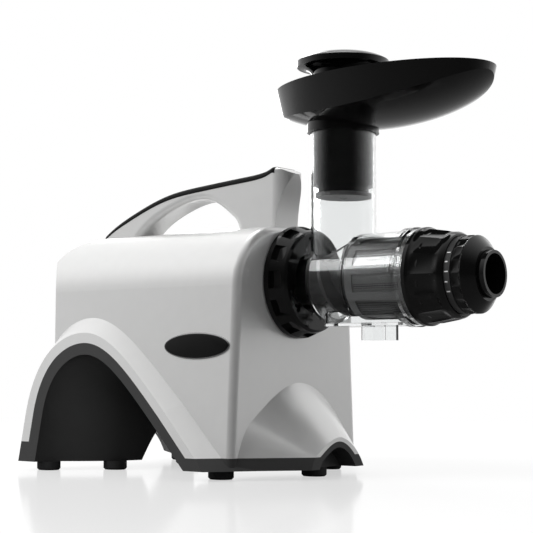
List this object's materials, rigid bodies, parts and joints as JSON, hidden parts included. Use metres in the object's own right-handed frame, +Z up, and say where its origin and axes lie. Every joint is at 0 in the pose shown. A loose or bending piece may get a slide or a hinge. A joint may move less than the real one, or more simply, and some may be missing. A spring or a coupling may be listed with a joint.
{
  "type": "cold press juicer",
  "caption": "Horizontal cold press juicer: arched motor base with a handle, lock ring, clear drum with a slow auger, oval hopper with pusher, and an end cap with a dial.",
  "frame": {"origin": "on the surface that the feet stand on, under the middle of the machine's bounding box", "axes": "+X runs along the drum from the housing to the pulp nozzle, +Z is up, the XZ plane is the plane of symmetry of the housing"},
  "size_m": [0.4446, 0.22, 0.368],
  "materials": {
    "silver_shell": "satin silver paint",
    "black_plastic": "fine satin",
    "black_gloss": "polished",
    "black_rubber": "matt",
    "clear_plastic": "clear moulded plastic",
    "grey_plastic": "satin",
    "auger_plastic": "satin",
    "seal_rubber": "matt",
    "steel_mesh": "fine mesh",
    "steel": "turned",
    "screw_steel": "plated",
    "gear_nylon": "satin",
    "copper": "enamelled winding",
    "cast_alloy": "cast",
    "lamination": "stacked sheet",
    "bronze": "sintered"
  },
  "bodies": {
    "base": {"housing_shell": "silver_shell", "base_tray": "black_plastic", "rubber_feet": "black_rubber", "carry_handle": "silver_shell", "handle_inlay": "black_plastic", "switch_bezel": "black_plastic", "switch_body": "black_plastic", "cord_gland": "black_rubber", "hub_collar": "black_plastic", "shaft_seal": "seal_rubber", "gearbox_case": "cast_alloy", "gearbox_cover": "cast_alloy", "gearbox_screws": "screw_steel", "output_bearings": "bronze", "counter_bushes": "bronze", "stator_core": "lamination", "stator_windings": "copper", "motor_rear_bell": "cast_alloy", "motor_front_bell": "cast_alloy", "motor_bearings": "bronze", "motor_bolts": "screw_steel", "deck_screws": "screw_steel", "run_capacitor": "black_plastic"},
    "rotor": {"motor_shaft": "steel", "rotor_core": "lamination", "cooling_fan": "black_plastic"},
    "counter": {"counter_gear": "gear_nylon", "counter_shaft": "steel"},
    "output": {"drive_shaft": "steel", "output_gear": "gear_nylon"},
    "auger": {"auger": "auger_plastic", "auger_shaft": "steel"},
    "lock_ring": {"lock_ring": "black_gloss"},
    "drum": {"drum": "clear_plastic", "drum_seal": "seal_rubber", "screen_frame": "grey_plastic", "screen_mesh": "steel_mesh"},
    "cap_carrier": {"cap_seal": "seal_rubber"},
    "cap": {"drum_cap": "black_gloss", "scale_ring": "silver_shell"},
    "dial": {"adjust_dial": "black_plastic"},
    "nozzle": {"pulp_nozzle": "black_plastic", "nozzle_seal": "seal_rubber"},
    "hopper": {"hopper": "black_gloss"},
    "pusher": {"pusher": "black_gloss", "pusher_tip": "grey_plastic", "pusher_screw": "screw_steel"},
    "rocker": {"switch_rocker": "black_gloss"}
  },
  "joints": [
    {"name": "motor_spin", "type": "hinge", "parent": "base", "child": "rotor", "pos_m": [-0.115, 0, 0.169], "axis": [1, 0, 0], "continuous": true},
    {"name": "counter_spin", "type": "hinge", "parent": "base", "child": "counter", "pos_m": [-0.041, 0.033, 0.169], "axis": [1, 0, 0], "continuous": true},
    {"name": "output_spin", "type": "hinge", "parent": "base", "child": "output", "pos_m": [-0.021, 0, 0.169], "axis": [1, 0, 0], "continuous": true},
    {"name": "drum_slide", "type": "slide", "parent": "base", "child": "drum", "axis": [1, 0, 0], "range_m": [0, 0.12]},
    {"name": "auger_spin", "type": "hinge", "parent": "drum", "child": "auger", "pos_m": [0.1, 0, 0.169], "axis": [1, 0, 0], "continuous": true},
    {"name": "ring_turn", "type": "hinge", "parent": "base", "child": "lock_ring", "pos_m": [0.035, 0, 0.169], "axis": [1, 0, 0], "range_deg": [0, 40]},
    {"name": "cap_slide", "type": "slide", "parent": "drum", "child": "cap_carrier", "axis": [1, 0, 0], "range_m": [0, 0.06]},
    {"name": "cap_twist", "type": "hinge", "parent": "cap_carrier", "child": "cap", "pos_m": [0.175, 0, 0.169], "axis": [1, 0, 0], "range_deg": [0, 40]},
    {"name": "dial_turn", "type": "hinge", "parent": "cap", "child": "dial", "pos_m": [0.205, 0, 0.169], "axis": [1, 0, 0], "range_deg": [0, 144]},
    {"name": "nozzle_slide", "type": "slide", "parent": "cap", "child": "nozzle", "axis": [1, 0, 0], "range_m": [-0.004, 0]},
    {"name": "hopper_lift", "type": "slide", "parent": "drum", "child": "hopper", "axis": [0, 0, 1], "range_m": [0, 0.05]},
    {"name": "pusher_lift", "type": "slide", "parent": "hopper", "child": "pusher", "axis": [0, 0, 1], "range_m": [0, 0.15]},
    {"name": "rocker_tilt", "type": "hinge", "parent": "base", "child": "rocker", "pos_m": [-0.2, -0.028, 0.172], "axis": [0, 1, 0], "range_deg": [-10, 10]}
  ],
  "couplings": [
    {"joint": "counter_spin", "follows": "motor_spin", "ratio": -0.22222},
    {"joint": "output_spin", "follows": "motor_spin", "ratio": 0.049383},
    {"joint": "auger_spin", "follows": "motor_spin", "ratio": 0.049383},
    {"joint": "nozzle_slide", "follows": "dial_turn", "m_per_rad": -0.0015915}
  ]
}
